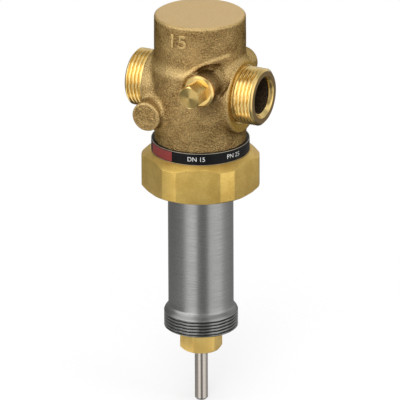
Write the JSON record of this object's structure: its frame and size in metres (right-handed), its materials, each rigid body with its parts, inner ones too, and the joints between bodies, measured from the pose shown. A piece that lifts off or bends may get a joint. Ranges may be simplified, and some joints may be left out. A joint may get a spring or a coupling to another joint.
{
  "type": "control valve",
  "caption": "Small globe control valve with threaded pipe ends, union nut, long steel neck and a sprung spindle that a linear actuator pushes in to close.",
  "frame": {"origin": "middle of the actuator collar's end face, on the spindle axis", "axes": "+Z along the spindle from the actuator to the body, +X along the pipe axis to the outlet, -Y to the side with the test plug"},
  "size_m": [0.065, 0.059, 0.1887],
  "materials": {
    "cast_bronze": "as-cast bronze with machined ports",
    "brass": "turned brass",
    "steel": "turned stainless steel",
    "black_label": "satin black band",
    "copper": "soft copper",
    "packing": "white fluoropolymer",
    "graphite": "pressed graphite",
    "rubber": "black rubber"
  },
  "bodies": {
    "housing": {"valve_body": "cast_bronze", "seat_ring": "steel", "balance_sleeve": "steel", "bonnet_tube": "steel", "bonnet_gasket": "graphite", "union_nut": "brass", "label_ring": "black_label", "guide_bush": "brass", "guide_clip": "steel", "return_spring": "steel", "packing_washer": "brass", "packing_ring_1": "packing", "packing_ring_2": "packing", "packing_ring_3": "packing", "gland_nut": "brass", "wiper_ring": "rubber", "test_plug": "brass", "plug_washer": "copper"},
    "stem": {"spindle": "steel", "valve_cone": "steel", "cone_nut": "steel", "piston_ring": "packing", "spring_plate": "steel", "spindle_clip": "steel"}
  },
  "joints": [
    {"name": "spindle_slide", "type": "slide", "parent": "housing", "child": "stem", "axis": [0, 0, 1], "range_m": [0, 0.004], "stiffness_N_per_m": 5000, "springref_m": -0.012, "deforming": ["return_spring"]}
  ]
}
